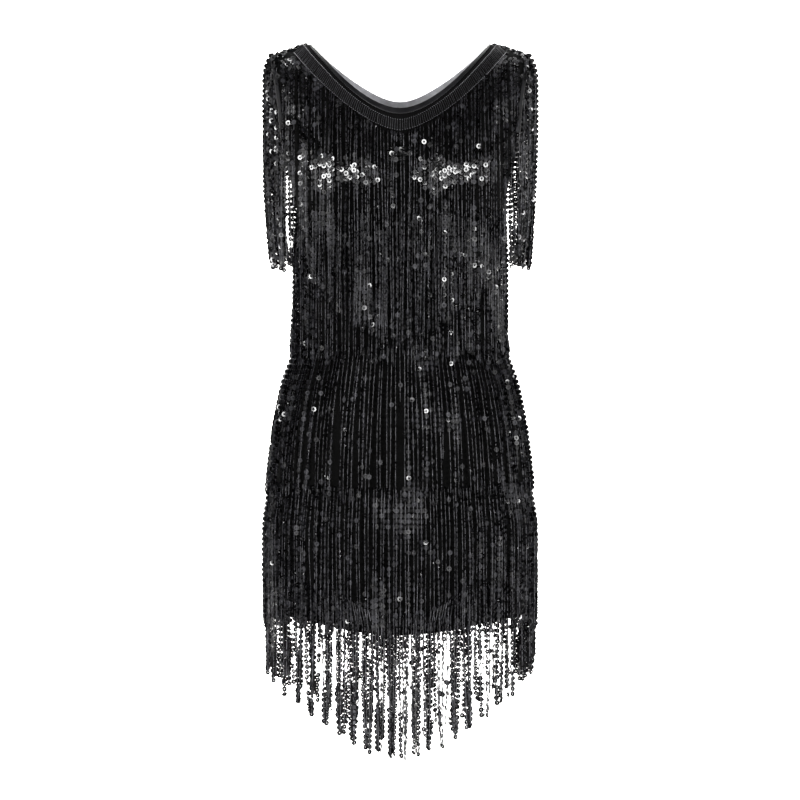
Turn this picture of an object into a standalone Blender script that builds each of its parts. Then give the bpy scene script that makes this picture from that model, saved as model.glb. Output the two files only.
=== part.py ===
"""A latin dance dress: stretch cloth with a V neck, covered in rows of hanging sequin fringe.

It is filled out as it is worn, with nobody in it. Sizes are in millimetres, +Z is up and the
front faces -Y. The origin lies midway between the shoulder seams, where the wearer carries it.
"""

import math
import random

import bmesh
import bpy
from mathutils import Vector

MM = 0.001
DRESS = "latin_dance_dress"
FRONT = -1
BACK = 1

# Cloth and seams, then the bindings: their thickness, how far they stay off the cloth outside
# and inside, how far the armhole's reaches in, and how much looser it sits at the underarm.
CLOTH = 1.3
SEAM_GAP = 0.3
BINDING = 0.9
BINDING_GAP = 0.6
BINDING_GAP_INSIDE = 1.6
BINDING_WIDTH = 5.0
UNDERARM_EASE = 2.6
LEAST_SLANT = 0.6

# The shoulders: half the width at the neck point and at the shoulder end, and their heights
NECK_HALF = 114.0
SHOULDER_HALF = 162.0
NECK_POINT_HEIGHT = 7.5
SHOULDER_END_HEIGHT = -8.0
SHOULDER_ROUND = 60.0
SHOULDER_TURN_HEIGHT = -12.0

UNDERARM_HEIGHT = -195.0
HEM_SIDE_HEIGHT = -708.0
HEM_CENTRE_HEIGHT = -730.0
HEM_ROUNDNESS = 4
FRINGE_FLOOR = -900.0

# The filled-out dress at the cloth: half the width, depth in front of and behind the side
# seams, and squareness, where 2 is an ellipse.
SECTION_COLUMNS = ("height", "half_width", "front", "back", "squareness")
SECTIONS = [
    (60, 172, 52, 50, 2.3),
    (0, 172, 55, 53, 2.3),
    (-30, 170, 66, 64, 2.3),
    (-60, 166, 79, 77, 2.3),
    (-100, 163, 97, 92, 2.3),
    (-130, 156, 109, 98, 2.3),
    (-155, 145, 115, 100, 2.28),
    (-175, 136, 116, 99, 2.22),
    (-195, 131, 113, 96, 2.18),
    (-225, 128, 107, 90, 2.14),
    (-258, 126, 98, 83, 2.1),
    (-310, 125, 88, 77, 2.08),
    (-345, 127, 88, 81, 2.08),
    (-378, 132.5, 92, 90, 2.1),
    (-428, 147.5, 100, 104, 2.12),
    (-466, 154, 105, 112, 2.12),
    (-504, 159, 108, 118, 2.12),
    (-567, 166, 110, 121, 2.12),
    (-617, 167, 109, 119, 2.12),
    (-668, 165.5, 107, 115, 2.12),
    (-730, 164, 105, 111, 2.12),
    (-800, 163.5, 104, 110, 2.12),
    (-900, 163, 103, 109, 2.12),
]

# The armhole edge, as the angle round the body from the side seam
ARMHOLE_COLUMNS = ("height", "angle")
ARMHOLE = [
    (-195, 0),
    (-188, 6.5),
    (-172, 13.5),
    (-150, 19.5),
    (-120, 24.5),
    (-90, 26),
    (-60, 25.5),
    (-30, 23.5),
    (0, 20.5),
]

# Lines that run round the neck: where each meets the shoulder seam, how far below the seam it
# starts, its height at the centre and how round it is.
NECKLINES = {
    (FRONT, "edge"): {"half": 114, "drop": 0, "centre": -88, "roundness": 1.65},
    (FRONT, "inner_stitch"): {"half": 121.5, "drop": 1.5, "centre": -98, "roundness": 1.62},
    (FRONT, "outer_stitch"): {"half": 131.5, "drop": 10, "centre": -111, "roundness": 1.6},
    (BACK, "edge"): {"half": 114, "drop": 0, "centre": -62, "roundness": 1.4},
    (BACK, "inner_stitch"): {"half": 121.5, "drop": 1.5, "centre": -72, "roundness": 1.42},
    (BACK, "outer_stitch"): {"half": 131.5, "drop": 10, "centre": -86, "roundness": 1.45},
}

# The cloth's grid: columns run up each panel, rows run across it.
COLUMNS = 16
STRAP_COLUMNS = 3
STRAP_HALVES = (162, 146, 131, 114)
BODY_ROWS = (-255, -310, -365, -415, -470, -530, -590, -655)
FRINGE_ROWS = (-810, FRINGE_FLOOR)
CHEST_ROWS = (0.05, 0.12, 0.22, 0.34, 0.48, 0.63, 0.8, 1.0)
TOP_DROPS = (13.0, 6.5, 2.5, 0.0)
TOP_ROW_DROP = 30.0
BINDING_ROWS = 2
FACING_ROWS = 3

# How finely the body is measured: passes to settle a point, steps along a line, and the small
# turn and rise between the points from which an outward direction is taken.
SECTION_PASSES = 5
LINE_STEPS = 360
SMALL_TURN = 1.5
SMALL_FALL = 1.0
SMALL_RISE = 0.2
UPWARD = 0.4
SIDE_LIMIT = 0.97
LEAST_OUT = 0.35
SMOOTH_ANGLE = 35.0

# Rows of fringe round the body: the header tape's top edge, the length of the strands and how
# much deeper the row runs at the centre front and back than at the sides.
TAPE_GAP = 0.5
TAPE = 1.0
TAPE_WIDTH = 8.0
TIERS = {
    "bust_fringe": {"top": -205, "strand": 166, "dip": 4, "locks": 1, "thickness": 2.0},
    "waist_fringe": {"top": -370, "strand": 172, "dip": 4, "locks": 1, "thickness": 2.0},
    "hip_fringe": {"top": -542, "strand": 170, "dip": 6, "locks": 1, "thickness": 2.0},
    "hem_fringe": {"top": -595, "strand": 168, "dip": 107, "locks": 3, "thickness": 1.5},
}
TIER_ROUNDNESS = 1.5
LIFT_START = 0.25
LIFT_PLACE = 0.6
LOCK_LIFT = 2.9
HEM_LIFT = 0.6
PLUMB = 0.85
LOCK_GAP = 0.05
HEM_STRAND_GAP = 0.2
GAP_VARIES = (0.9, 1.5)
LOCK_TAPER = 0.25
LOCK_HALF = 0.5
LOCK_FLAT_HALF = 0.4
ROW_CLEARANCE = 14.0
RAGGED = 5.0

# Strands that hang from the neckline, over the bust
NECK_STRAND = 262.0
STRAP_LOCK_HALF = 146.0
NECK_TAPE_GAP = 2.0
NECK_LIFT = 2.8
NECK_LOCK = 1.8
NECK_LOCK_GAP = 1.4
NECK_LOCK_GAP_SHARE = 0.15
NECK_LOCK_TAPER = 0.8
NECK_LOCK_BEVEL = 0.8
NECK_LOCK_FLAT = 0.4
NECK_LEVELS = (0.06, 0.17, 0.32, 0.5, 0.72, 1.0)
NECK_STATIONS = (131.5, 126, 118, 107, 93, 76, 57, 35, 12)
BODY_STEP = 4.0

# Strands that hang over each arm
SLEEVE_STRANDS_PER_ROW = (2, 2, 1)
SLEEVE_TIP_HEIGHT = -272.0
SLEEVE_STRIP_WIDTH = 6.5
SLEEVE_STRIP_OUT = 2.1
SLEEVE_STRIP_LIFT = 2.0
SLEEVE_HANG_TOP = 171.0
SLEEVE_HANG_END = 155.0
SLEEVE_STRAND = 2.6
SLEEVE_LEVELS = (0.06, 0.35, 0.68, 1.0)
SLEEVE_STRAND_SHARE = 0.36
SLEEVE_STRAND_TAPER = 0.3
SLEEVE_STRAND_BEVEL = 0.7
SLEEVE_RAGGED = 6.0

MATERIALS = {
    "black_knit": {"colour": (0.012, 0.012, 0.013), "roughness": 0.85},
    "black_satin": {"colour": (0.02, 0.02, 0.022), "roughness": 0.4},
    "grey_satin": {"colour": (0.16, 0.16, 0.17), "roughness": 0.45},
    "black_sequins": {"colour": (0.03, 0.03, 0.033), "roughness": 0.2},
}

VARIATION = random.Random(4)


def clear_scene():
    for old in list(bpy.data.objects):
        bpy.data.objects.remove(old, do_unlink=True)


def make_material(name):
    colour = (*MATERIALS[name]["colour"], 1.0)
    material = bpy.data.materials.new(name)
    material.use_nodes = True
    shader = material.node_tree.nodes["Principled BSDF"]
    shader.inputs["Base Color"].default_value = colour
    shader.inputs["Roughness"].default_value = MATERIALS[name]["roughness"]
    material.diffuse_color = colour
    return material


def smooth_step(low, high, value):
    part = min(1.0, max(0.0, (value - low) / (high - low)))
    return part * part * (3.0 - 2.0 * part)


def read_table(rows, height, column):
    """Reads a column at a height, on a smooth curve through the rows of a table."""
    rows = sorted(rows)
    heights = [row[0] for row in rows]
    values = [row[column] for row in rows]
    if height <= heights[0]:
        return values[0]
    if height >= heights[-1]:
        return values[-1]
    low = max(i for i, known in enumerate(heights[:-1]) if known <= height)

    def slope(i):
        before = max(i - 1, 0)
        after = min(i + 1, len(rows) - 1)
        return (values[after] - values[before]) / (heights[after] - heights[before])

    span = heights[low + 1] - heights[low]
    part = (height - heights[low]) / span
    start, end = values[low], values[low + 1]
    lead, trail = slope(low) * span, slope(low + 1) * span
    return (
        start * (2 * part**3 - 3 * part**2 + 1)
        + lead * (part**3 - 2 * part**2 + part)
        + end * (3 * part**2 - 2 * part**3)
        + trail * (part**3 - part**2)
    )


def seam_height(x):
    """The height of the shoulder seam at a distance from the centre, carried on past both ends."""
    slope = (NECK_POINT_HEIGHT - SHOULDER_END_HEIGHT) / (SHOULDER_HALF - NECK_HALF)
    return NECK_POINT_HEIGHT - slope * (abs(x) - NECK_HALF)


def section_at(x, height, side):
    """Half width, depth and squareness of the body at a place seen from the front."""
    level = height - seam_height(x) * smooth_step(UNDERARM_HEIGHT, SHOULDER_TURN_HEIGHT, height)
    level = min(level, 0.0)
    half = read_table(SECTIONS, level, SECTION_COLUMNS.index("half_width"))
    depth = read_table(SECTIONS, level, SECTION_COLUMNS.index("front" if side == FRONT else "back"))
    square = read_table(SECTIONS, level, SECTION_COLUMNS.index("squareness"))
    if level > -SHOULDER_ROUND:
        depth *= math.sqrt(max(0.0, 1.0 - (1.0 + level / SHOULDER_ROUND) ** 2))
    return half, depth, square


def signed_power(value, power):
    return math.copysign(abs(value) ** power, value)


def body_point(angle, height, side):
    """A point on the body: 0 degrees is the side seam at -X, 90 the centre, 180 at +X."""
    turn = math.radians(angle)
    x = 0.0
    for _ in range(SECTION_PASSES):
        half, depth, square = section_at(x, height, side)
        x = -half * signed_power(math.cos(turn), 2.0 / square)
    return Vector((x, side * depth * signed_power(math.sin(turn), 2.0 / square), height))


def angle_at(x, height, side):
    half, _, square = section_at(x, height, side)
    ratio = min(1.0, abs(x) / half)
    angle = math.degrees(math.acos(ratio ** (square / 2.0)))
    return angle if x <= 0 else 180.0 - angle


def body_normal(angle, height, side):
    """The outward direction of the body's surface."""
    right = body_point(angle + SMALL_TURN, height, side)
    left = body_point(angle - SMALL_TURN, height, side)
    low = body_point(angle, height - SMALL_FALL, side)
    high = body_point(angle, height + SMALL_RISE, side)
    normal = (right - left).cross(low - high).normalized()
    turn = math.radians(angle)
    outward = Vector((-math.cos(turn), side * math.sin(turn), UPWARD))
    return normal if normal.dot(outward) > 0 else -normal


def on_body(x, height, side, lift=0.0):
    """A point off the body at a place seen from the front."""
    angle = angle_at(x, height, side)
    return body_point(angle, height, side) + body_normal(angle, height, side) * lift


def running_lengths(points):
    lengths = [0.0]
    for start, end in zip(points, points[1:]):
        lengths.append(lengths[-1] + (end - start).length)
    return lengths


def place_along(points, share):
    """The stretch of a line of points, and the part of it, at a share of the line's length."""
    lengths = running_lengths(points)
    wanted = lengths[-1] * share
    i = max(k for k in range(len(points) - 1) if lengths[k] <= wanted + 1e-9)
    return i, (wanted - lengths[i]) / (lengths[i + 1] - lengths[i])


def neckline_height(side, line, x):
    row = NECKLINES[side, line]
    top = seam_height(row["half"]) - row["drop"]
    return row["centre"] + (top - row["centre"]) * (abs(x) / row["half"]) ** row["roundness"]


def even_angles(height, side):
    """Angles that part a section into columns of equal width."""
    step = 180.0 / LINE_STEPS
    points = [body_point(step * i, height, side) for i in range(LINE_STEPS + 1)]
    places = [place_along(points, column / COLUMNS) for column in range(COLUMNS + 1)]
    return [step * (i + part) for i, part in places]


def top_of_column(column, side):
    """Where a column ends, on the shoulder seam or on the neckline, as x and height."""
    if column > COLUMNS / 2:
        x, height = top_of_column(COLUMNS - column, side)
        return -x, height
    if column <= STRAP_COLUMNS:
        x = -STRAP_HALVES[column]
        return x, seam_height(x)
    xs = [-NECK_HALF * (1.0 - i / LINE_STEPS) for i in range(LINE_STEPS + 1)]
    places = [on_body(x, neckline_height(side, "edge", x), side) for x in xs]
    half_columns = COLUMNS / 2 - STRAP_COLUMNS
    i, part = place_along(places, (column - STRAP_COLUMNS) / half_columns)
    x = xs[i] + (xs[i + 1] - xs[i]) * part
    return x, neckline_height(side, "edge", x)


class Cloth:
    """The outer surface of one panel as rows of points and outward directions, from the floor of
    the fringe up to the neck. The panel itself starts at the row of the hem."""

    def __init__(self, side):
        self.side = side
        self.points = []
        self.normals = []
        self.turned = {}
        for height in reversed(FRINGE_ROWS):
            self.add_row([height] * (COLUMNS + 1), even_angles(height, side))
        self.hem_row = len(self.points)
        hem_angles = even_angles(HEM_CENTRE_HEIGHT, side)
        self.add_row([hem_height(angle) for angle in hem_angles], hem_angles)
        for height in reversed(BODY_ROWS):
            self.add_row([height] * (COLUMNS + 1), even_angles(height, side))
        underarm = even_angles(UNDERARM_HEIGHT, side)
        self.underarm_row = len(self.points)
        self.add_row([UNDERARM_HEIGHT] * (COLUMNS + 1), underarm)
        tops = [top_of_column(column, side) for column in range(COLUMNS + 1)]
        top_angles = [angle_at(x, height, side) for x, height in tops]
        for part, drop in [(p, TOP_ROW_DROP) for p in CHEST_ROWS] + [(1.0, d) for d in TOP_DROPS]:
            heights = []
            angles = []
            for column, (_, top) in enumerate(tops):
                height = UNDERARM_HEIGHT + (top - drop - UNDERARM_HEIGHT) * part
                heights.append(height)
                up = (height - UNDERARM_HEIGHT) / (top - UNDERARM_HEIGHT)
                angle = underarm[column] * (1.0 - up) + top_angles[column] * up
                edge_height = UNDERARM_HEIGHT + (tops[0][1] - drop - UNDERARM_HEIGHT) * part
                edge_up = (edge_height - UNDERARM_HEIGHT) / (tops[0][1] - UNDERARM_HEIGHT)
                edge = read_table(ARMHOLE, edge_height, ARMHOLE_COLUMNS.index("angle"))
                pull = edge - top_angles[0] * edge_up
                if drop == 0.0:
                    pull = 0.0
                across = 2.0 * column / COLUMNS - 1.0
                angles.append(angle - pull * across)
            self.add_row(heights, angles)

    def add_row(self, heights, angles):
        points = []
        normals = []
        for column, (height, angle) in enumerate(zip(heights, angles)):
            points.append(body_point(angle, height, self.side))
            normal = body_normal(angle, height, self.side)
            on_side_seam = column in (0, COLUMNS) and height <= UNDERARM_HEIGHT
            on_shoulder_seam = abs(points[-1].y) < 0.01
            if on_side_seam or on_shoulder_seam:
                normal.y = 0.0
                normal.normalize()
            normals.append(normal)
        self.points.append(points)
        self.normals.append(normals)

    def wall_point(self, row, column):
        """A point of the panel, which stops short of its seams."""
        point = self.points[row][column].copy()
        point.y = self.side * max(self.side * point.y, SEAM_GAP / 2)
        return point

    def on_column(self, column, height):
        """The point and outward direction at a height on one column."""
        row = 0
        while row < len(self.points) - 2 and self.points[row + 1][column].z < height:
            row += 1
        low, high = self.points[row][column], self.points[row + 1][column]
        part = (height - low.z) / (high.z - low.z)
        normal = self.normals[row][column].lerp(self.normals[row + 1][column], part)
        return low.lerp(high, part), normal.normalized()

    def at(self, column, height, lift=0.0):
        """A point off the cloth's own facets. The column may lie between two."""
        left = min(int(column), COLUMNS - 1)
        point, normal = self.on_column(left, height)
        beside, beside_normal = self.on_column(left + 1, height)
        part = column - left
        return point.lerp(beside, part) + normal.lerp(beside_normal, part).normalized() * lift

    def depth_at(self, x, height, lift):
        """How far the body stands out from the side seams at a place seen from the front."""
        half, depth, square = section_at(x, height, self.side)
        ratio = abs(x) / half
        if ratio > SIDE_LIMIT:
            return 0.0
        angle = angle_at(x, height, self.side)
        out = max(LEAST_OUT, abs(body_normal(angle, height, self.side).y))
        return depth * (1.0 - ratio**square) ** (1.0 / square) + lift / out


def hem_height(angle):
    centre = math.sin(math.radians(angle)) ** HEM_ROUNDNESS
    return HEM_SIDE_HEIGHT + (HEM_CENTRE_HEIGHT - HEM_SIDE_HEIGHT) * centre


class Solid:
    """Collects the faces of one closed body."""

    def __init__(self, name, material, collection):
        self.name = name
        self.material = material
        self.collection = collection
        self.mesh = bmesh.new()

    def points(self, places):
        return [self.mesh.verts.new(place * MM) for place in places]

    def face(self, corners):
        self.mesh.faces.new(corners)

    def split_face(self, a, b, c, d, turn):
        """Two triangles with the diagonal a-c, or b-d where it is turned."""
        if turn:
            a, b, c, d = b, c, d, a
        self.face((a, b, c))
        self.face((a, c, d))

    def band(self, ring, after, turns):
        """Joins two rings of points. The two faces of a thin wall take the same diagonal, so
        one of them is turned: turns has a mark for each stretch of the ring, x where it is."""
        count = len(ring)
        for i, turn in enumerate(turns):
            k = (i + 1) % count
            self.split_face(ring[i], ring[k], after[k], after[i], turn == "x")

    def skin(self, rings, turns, closed):
        """Joins each ring of points to the next. Closed joins the last ring to the first."""
        for ring, after in zip(rings, rings[1:]):
            self.band(ring, after, turns)
        if closed:
            self.band(rings[-1], rings[0], turns)
        else:
            self.face(rings[0])
            self.face(list(reversed(rings[-1])))

    def finish(self, smooth=True):
        bmesh.ops.recalc_face_normals(self.mesh, faces=self.mesh.faces)
        data = bpy.data.meshes.new(self.name)
        self.mesh.to_mesh(data)
        self.mesh.free()
        if smooth:
            data.shade_smooth()
            data.set_sharp_from_angle(angle=math.radians(SMOOTH_ANGLE))
        piece = bpy.data.objects.new(self.name, data)
        piece.data.materials.append(self.material)
        self.collection.objects.link(piece)
        return piece


def make_panel(name, cloth, material, collection):
    """A wall of cloth: its outer surface, its inner one, and the edges that join them."""
    solid = Solid(name, material, collection)
    outer = []
    inner = []
    for row in range(cloth.hem_row, len(cloth.points)):
        outer_row = []
        inner_row = []
        for point, normal in zip(cloth.points[row], cloth.normals[row]):
            inside = point - normal * CLOTH
            for place, kept in ((point.copy(), outer_row), (inside, inner_row)):
                place.y = cloth.side * max(cloth.side * place.y, SEAM_GAP / 2)
                kept.append(place)
        outer.append(solid.points(outer_row))
        inner.append(solid.points(inner_row))
    for row in range(len(outer) - 1):
        for column in range(COLUMNS):
            steps = ((0, 0), (0, 1), (1, 1), (1, 0))
            a, b, c, d = (outer[row + up][column + across] for up, across in steps)
            turn = (b.co - d.co).length < (a.co - c.co).length
            cloth.turned[row + cloth.hem_row, column] = turn
            solid.split_face(a, b, c, d, turn)
            a, b, c, d = (inner[row + up][column + across] for up, across in steps)
            solid.split_face(a, b, c, d, turn)
    rim = [(0, column) for column in range(COLUMNS)]
    rim += [(row, COLUMNS) for row in range(len(outer) - 1)]
    rim += [(len(outer) - 1, column) for column in range(COLUMNS, 0, -1)]
    rim += [(row, 0) for row in range(len(outer) - 1, 0, -1)]
    for (row, column), (next_row, next_column) in zip(rim, rim[1:] + rim[:1]):
        solid.face(
            (
                inner[row][column],
                inner[next_row][next_column],
                outer[next_row][next_column],
                outer[row][column],
            )
        )
    return solid.finish()


def folded_binding(edge, out, into, outer_end, inner_end):
    """The eight corners of a tape folded over a cloth edge. Each end is the point of the cloth
    where a leaf of the tape stops, and the outward direction there."""
    face = BINDING_GAP + BINDING
    behind = CLOTH + BINDING_GAP_INSIDE
    back = behind + BINDING
    return [
        outer_end[0] + outer_end[1] * face,
        edge - into * face + out * face,
        edge - into * face - out * back,
        inner_end[0] - inner_end[1] * back,
        inner_end[0] - inner_end[1] * behind,
        edge - into * BINDING_GAP - out * behind,
        edge - into * BINDING_GAP + out * BINDING_GAP,
        outer_end[0] + outer_end[1] * BINDING_GAP,
    ]


FOLD_TURNS = "..x..xx."


def inside_edge(cloth, row, column, beside, along, width):
    """The cloth a width in from its edge, towards a neighbouring point of its grid, and the
    outward direction there."""
    edge = cloth.points[row][column]
    way = cloth.points[beside[0]][beside[1]] - edge
    slant = max(LEAST_SLANT, way.normalized().cross(along.normalized()).length)
    part = width / slant / way.length
    out = cloth.normals[row][column].lerp(cloth.normals[beside[0]][beside[1]], min(part, 1.0))
    return edge + way * part, out.normalized()


def make_neck_binding(name, cloth, inner_rows, material, collection):
    """A tape folded over the neckline, made from the panel's own top rows."""
    solid = Solid(name, material, collection)
    columns = range(STRAP_COLUMNS, COLUMNS - STRAP_COLUMNS + 1)
    top = len(cloth.points) - 1
    face = BINDING_GAP + BINDING
    behind = CLOTH + BINDING_GAP_INSIDE
    back = behind + BINDING
    rings = []
    for column in columns:
        edge = cloth.wall_point(top, column)
        out = cloth.normals[top][column]
        after = min(column + 1, columns[-1])
        before = max(column - 1, columns[0])
        into = (cloth.points[top][after] - cloth.points[top][before]).cross(out).normalized()
        into *= -cloth.side
        rows = [
            (cloth.wall_point(top - drop, column), cloth.normals[top - drop][column])
            for drop in range(1, max(BINDING_ROWS, inner_rows) + 1)
        ]
        leaf = rows[:BINDING_ROWS]
        inner_leaf = rows[:inner_rows]
        ring = [point + normal * face for point, normal in reversed(leaf)]
        ring += [edge - into * face + out * face, edge - into * face - out * back]
        ring += [point - normal * back for point, normal in inner_leaf]
        ring += [point - normal * behind for point, normal in reversed(inner_leaf)]
        ring.append(edge - into * BINDING_GAP - out * behind)
        ring.append(edge - into * BINDING_GAP + out * BINDING_GAP)
        ring += [point + normal * BINDING_GAP for point, normal in leaf]
        for place in ring:
            place.y = cloth.side * max(cloth.side * place.y, SEAM_GAP / 2)
        rings.append(solid.points(ring))
    for column, ring, after in zip(columns, rings, rings[1:]):
        up = [cloth.turned[top - drop, column] for drop in range(BINDING_ROWS, 0, -1)]
        down = [cloth.turned[top - drop, column] for drop in range(1, inner_rows + 1)]
        turns = up + [False] + [not turn for turn in down] + [False]
        turns += list(reversed(down)) + [True] + [not turn for turn in reversed(up)] + [False]
        solid.band(ring, after, ["x" if turn else "." for turn in turns])
    solid.face(rings[0])
    solid.face(list(reversed(rings[-1])))
    return solid.finish()


def armhole_edge(front, back, column, width):
    """The armhole from the underarm up the front, over the shoulder and down the back, as
    rows of point, outward direction, and the cloth a width in from the edge."""
    top = len(front.points) - 1
    low = front.underarm_row
    places = [(front, row) for row in range(low, top + 1)]
    places += [(back, row) for row in range(top - 1, low, -1)]
    points = [cloth.points[row][column] for cloth, row in places]
    rows = []
    for i, (cloth, row) in enumerate(places):
        along = points[(i + 1) % len(points)] - points[i - 1]
        beside = (row - 1, column) if i == 0 else (row, 1 if column == 0 else COLUMNS - 1)
        place, out = inside_edge(cloth, row, column, beside, along, width)
        from_underarm = min(i, len(places) - i)
        ease = 1.0 + (UNDERARM_EASE - 1.0) * max(0.0, 1.0 - from_underarm / 2)
        end = (place, out * ease)
        rows.append((points[i], cloth.normals[row][column], end))
    return rows


def make_armhole_binding(name, front, back, column, material, collection):
    solid = Solid(name, material, collection)
    rings = []
    for edge, out, end in armhole_edge(front, back, column, BINDING_WIDTH):
        into = (end[0] - edge).normalized()
        rings.append(solid.points(folded_binding(edge, out, into, end, end)))
    solid.skin(rings, FOLD_TURNS, closed=True)
    return solid.finish()


def make_comb(name, stations, strands, closed, material, collection):
    """A header tape with the strands that hang from it, as one body.

    Each station is a cross-section of the tape: inner top, outer top, outer low, inner low. Each
    strand fills the low face between two stations and is a list of sections: inner left, outer
    left, outer right, inner right.
    """
    solid = Solid(name, material, collection)
    rings = [solid.points(station) for station in stations]
    pairs = list(zip(rings, rings[1:]))
    if closed:
        pairs.append((rings[-1], rings[0]))
    else:
        solid.face(rings[0])
        solid.face(list(reversed(rings[-1])))
    for (left, right), sections in zip(pairs, strands):
        solid.split_face(left[0], left[1], right[1], right[0], False)
        solid.split_face(left[1], left[2], right[2], right[1], False)
        solid.split_face(left[3], left[0], right[0], right[3], True)
        strand = [[left[3], left[2], right[2], right[3]]]
        strand += [solid.points(section) for section in sections]
        for ring, after in zip(strand, strand[1:]):
            solid.band(ring, after, "...x")
        solid.face(strand[-1])
    return solid.finish(smooth=False)


def round_the_body(front, back, position):
    """The cloth and column at a position round the dress, from 0 at the left side seam."""
    position %= 2 * COLUMNS
    if position <= COLUMNS:
        return front, position
    return back, 2 * COLUMNS - position


def angle_of(cloth, column, height):
    place = cloth.at(column, height)
    return angle_at(place.x, place.z, cloth.side)


def tier_top(tier, cloth, column):
    row = TIERS[tier]
    centre = math.sin(math.radians(angle_of(cloth, column, row["top"])))
    return row["top"] - row["dip"] * centre**TIER_ROUNDNESS


def make_tier(tier, front, back, material, collection):
    """A row of fringe sewn round the body. Its strands follow the cloth, then hang plumb."""
    per_column = TIERS[tier]["locks"]
    thickness = TIERS[tier]["thickness"]
    count = 2 * COLUMNS * per_column
    gap = HEM_STRAND_GAP if per_column > 1 else LOCK_GAP
    lift_end = HEM_LIFT if per_column > 1 else LOCK_LIFT
    shape = (
        (-LOCK_HALF, 0.0),
        (-LOCK_FLAT_HALF, thickness),
        (LOCK_FLAT_HALF, thickness),
        (LOCK_HALF, 0.0),
    )
    stations = []
    for i in range(count):
        cloth, column = round_the_body(front, back, i / per_column)
        top = tier_top(tier, cloth, column)
        low = top - TAPE_WIDTH
        stations.append(
            [
                cloth.at(column, top, TAPE_GAP),
                cloth.at(column, top, TAPE_GAP + TAPE),
                cloth.at(column, low, TAPE_GAP + TAPE),
                cloth.at(column, low, TAPE_GAP),
            ]
        )
    strands = []
    for i in range(count):
        middle = (i + 0.5) / per_column
        cloth, centre = round_the_body(front, back, middle)
        root = tier_top(tier, cloth, centre) - TAPE_WIDTH
        tip = root - TIERS[tier]["strand"] + VARIATION.uniform(-RAGGED, RAGGED)
        heights = [root - LIFT_START * LIFT_PLACE * (root - tip), tip]
        for row in cloth.points:
            if tip + ROW_CLEARANCE < row[int(centre)].z < root - ROW_CLEARANCE:
                heights.append(row[int(centre)].z)
        width = (1.0 - gap * VARIATION.uniform(*GAP_VARIES)) / per_column
        sideways = body_normal(angle_of(cloth, centre, root), root, cloth.side)
        sideways.z = 0.0
        sideways.normalize()
        reach = 0.0
        sections = []
        for height in sorted(heights, reverse=True):
            fallen = (root - height) / (root - tip)
            lift = TAPE_GAP + lift_end * smooth_step(0.0, LIFT_START, fallen)
            here = cloth.at(centre, height).dot(sideways)
            reach = max(reach, here, cloth.at(centre, root).dot(sideways))
            plumb = sideways * (reach - here) * PLUMB
            narrow = width * (1.0 - LOCK_TAPER * fallen)
            section = []
            for share, out in shape:
                place, column = round_the_body(front, back, middle + share * narrow)
                section.append(place.at(column, height, lift + out) + plumb)
            sections.append(section)
        strands.append(sections)
    return make_comb(tier, stations, strands, True, material, collection)


def make_neck_fringe(name, cloth, material, collection):
    """The header band along the neck and the shoulder, with strands that fall over the bust."""
    outer = NECKLINES[cloth.side, "outer_stitch"]
    inner = NECKLINES[cloth.side, "inner_stitch"]
    lifts = (NECK_TAPE_GAP, NECK_TAPE_GAP + TAPE)
    places = []
    for low_x in [-x for x in NECK_STATIONS] + list(reversed(NECK_STATIONS)):
        top_x = low_x * inner["half"] / outer["half"]
        top = (top_x, neckline_height(cloth.side, "inner_stitch", top_x))
        low = (low_x, neckline_height(cloth.side, "outer_stitch", low_x))
        places.append((top, low))
    for x in (-STRAP_LOCK_HALF, STRAP_LOCK_HALF):
        on_strap = ((x, seam_height(x) - inner["drop"]), (x, seam_height(x) - outer["drop"]))
        places.insert(0 if x < 0 else len(places), on_strap)
    stations = []
    for top, low in places:
        tops = [on_body(*top, cloth.side, lift) for lift in lifts]
        lows = [on_body(*low, cloth.side, lift) for lift in lifts]
        stations.append([tops[0], tops[1], lows[1], lows[0]])
    strands = []
    for left, right in zip(stations, stations[1:]):
        length = NECK_STRAND + VARIATION.uniform(-RAGGED, RAGGED)
        gap = min(NECK_LOCK_GAP, NECK_LOCK_GAP_SHARE * (right[3].x - left[3].x))
        edges = []
        for station, inward in ((left, 1), (right, -1)):
            start = station[3]
            points = []
            reach = 0.0
            steps = int(length / BODY_STEP)
            reaches = []
            for step in range(steps + 1):
                height = start.z - length * step / steps
                x = start.x + inward * gap
                reach = max(reach, cloth.depth_at(x, height, NECK_LIFT), abs(start.y))
                reaches.append(reach)
            for level in NECK_LEVELS:
                step = round(level * steps)
                taper = inward * gap * (1.0 + NECK_LOCK_TAPER * level)
                height = start.z - length * step / steps
                points.append(Vector((start.x + taper, cloth.side * reaches[step], height)))
            edges.append(points)
        sections = []
        for level, left_place, right_place in zip(NECK_LEVELS, *edges):
            furthest = max(abs(left_place.y), abs(right_place.y))
            flat = smooth_step(0.0, NECK_LOCK_FLAT, level)
            for place in (left_place, right_place):
                place.y += (cloth.side * furthest - place.y) * flat
            across = (right_place - left_place) * Vector((1, 1, 0))
            across.normalize()
            out = Vector((-across.y, across.x, 0.0))
            out *= NECK_LOCK * cloth.side * math.copysign(1.0, out.y)
            sections.append(
                [
                    left_place,
                    left_place + across * NECK_LOCK_BEVEL + out,
                    right_place - across * NECK_LOCK_BEVEL + out,
                    right_place,
                ]
            )
        strands.append(sections)
    return make_comb(name, stations, strands, False, material, collection)


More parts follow.
